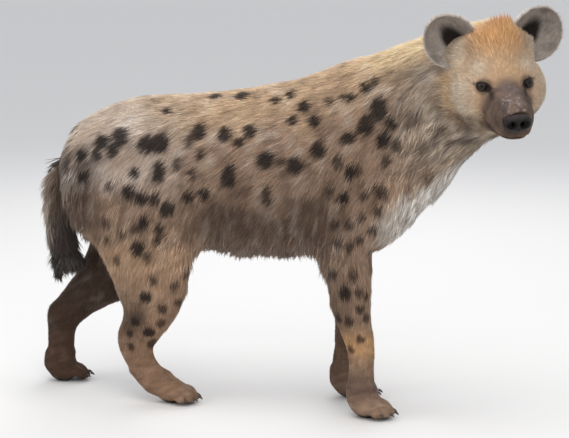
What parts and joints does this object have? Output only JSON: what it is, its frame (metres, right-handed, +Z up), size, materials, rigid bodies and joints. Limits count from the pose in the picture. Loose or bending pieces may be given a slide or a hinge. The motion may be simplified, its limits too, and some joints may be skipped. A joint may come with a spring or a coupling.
{
  "type": "spotted hyena model",
  "caption": "Life-size standing spotted hyena with sloping back, rounded ears, bushy tail and head turned to its right.",
  "frame": {"origin": "on the floor, in the middle of the model's box", "axes": "+X forward along the body, +Y to the animal's left, +Z up; the head is turned to the animal's right"},
  "size_m": [1.2376, 0.4766, 0.9122],
  "materials": {
    "coat": "short spotted fur, buff with dark brown spots",
    "ear_fur": "short grey-brown fur",
    "tail_hair": "long dark brown hair",
    "nose_leather": "moist black leather",
    "eye": "glossy dark brown",
    "claw": "satin horn"
  },
  "bodies": {
    "root": {"torso": "coat", "neck": "coat", "head": "coat", "nose": "nose_leather", "eye_left": "eye", "eye_right": "eye", "ear_left": "ear_fur", "ear_right": "ear_fur", "tail": "tail_hair", "fore_right_arm": "coat", "fore_right_paw": "coat", "fore_left_arm": "coat", "fore_left_paw": "coat", "hind_right_thigh": "coat", "hind_right_shank": "coat", "hind_right_paw": "coat", "hind_left_thigh": "coat", "hind_left_shank": "coat", "hind_left_paw": "coat", "fore_right_claw_1": "claw", "fore_right_claw_2": "claw", "fore_right_claw_3": "claw", "fore_right_claw_4": "claw", "fore_left_claw_1": "claw", "fore_left_claw_2": "claw", "fore_left_claw_3": "claw", "fore_left_claw_4": "claw", "hind_right_claw_1": "claw", "hind_right_claw_2": "claw", "hind_right_claw_3": "claw", "hind_right_claw_4": "claw", "hind_left_claw_1": "claw", "hind_left_claw_2": "claw", "hind_left_claw_3": "claw", "hind_left_claw_4": "claw"}
  },
  "joints": []
}
